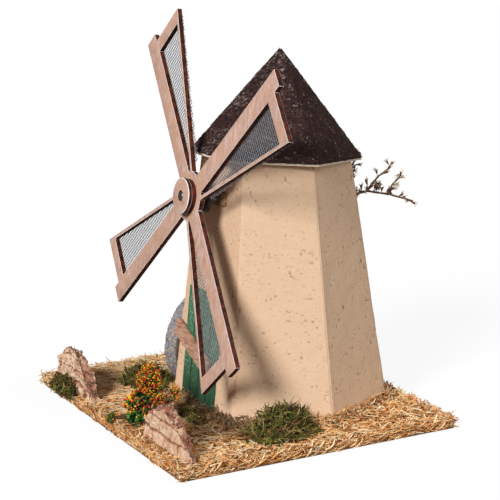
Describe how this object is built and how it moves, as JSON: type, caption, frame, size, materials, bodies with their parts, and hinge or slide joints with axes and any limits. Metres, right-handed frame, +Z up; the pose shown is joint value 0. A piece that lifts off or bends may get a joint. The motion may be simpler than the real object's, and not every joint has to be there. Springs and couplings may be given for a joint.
{
  "type": "ornamental windmill",
  "caption": "Tabletop windmill with a six-sided cream tower, dark pyramid roof and a turning rotor of lattice sails, on a straw-covered board with brick ruins, moss and flowers.",
  "frame": {"origin": "on the underside of the base board, on the tower's vertical axis", "axes": "+Z up along the tower, -Y towards the door and the sails, +X to the right seen from the front"},
  "size_m": [0.2149, 0.2069, 0.2328],
  "materials": {
    "board_wood": "raw plywood, sawn edges",
    "straw": "dry straw, matt",
    "stucco": "cream textured paint with small pits, matt",
    "door_paint": "dark green paint, dry-brushed white on the grooves",
    "plank_wood": "weathered light brown wood, matt",
    "eaves_card": "pale cut card",
    "roof_sheet": "dark brown rough bark-like sheet with pale scuffs",
    "millstone_grey": "grey speckled stone, matt",
    "brick": "pinkish cast brick with reddish joints, matt",
    "moss": "dried moss",
    "bush": "green bush with red, orange and yellow buds",
    "dry_wood": "dry brown twigs with pale buds",
    "sail_board": "copper-brown painted board with dark cut edges and pale arrises",
    "wire_mesh": "woven wire screen",
    "axle_steel": "bright steel",
    "black_plastic": "black, semi-gloss",
    "bearing_wood": "plain pine"
  },
  "bodies": {
    "tower": {"base_board": "board_wood", "straw_mat": "straw", "millstone": "millstone_grey", "wall_front": "stucco", "wall_back": "stucco", "wall_back_right": "stucco", "wall_back_left": "stucco", "wall_front_left": "stucco", "wall_front_right": "stucco", "door": "door_paint", "door_plank": "plank_wood", "eaves_card": "eaves_card", "roof_back_right": "roof_sheet", "roof_back": "roof_sheet", "roof_back_left": "roof_sheet", "roof_front_left": "roof_sheet", "roof_front": "roof_sheet", "roof_front_right": "roof_sheet", "bearing_block": "bearing_wood", "ruin_wall_front": "brick", "ruin_wall_left": "brick", "moss_by_tower": "moss", "moss_by_ruin": "moss", "moss_by_millstone": "moss", "moss_by_door": "moss", "flower_bush": "bush", "dry_tree": "dry_wood"},
    "rotor": {"sail_cross": "sail_board", "mesh_screen_1": "wire_mesh", "mesh_screen_2": "wire_mesh", "mesh_screen_3": "wire_mesh", "mesh_screen_4": "wire_mesh", "hub_disc_rear": "sail_board", "hub_disc_front": "sail_board", "hub_screw": "axle_steel", "axle": "axle_steel", "spacer_ring": "black_plastic", "axle_collar": "bearing_wood"}
  },
  "joints": [
    {"name": "rotor_spin", "type": "hinge", "parent": "tower", "child": "rotor", "pos_m": [0, -0.0556, 0.1311], "axis": [0, -0.9882, 0.153], "continuous": true}
  ]
}
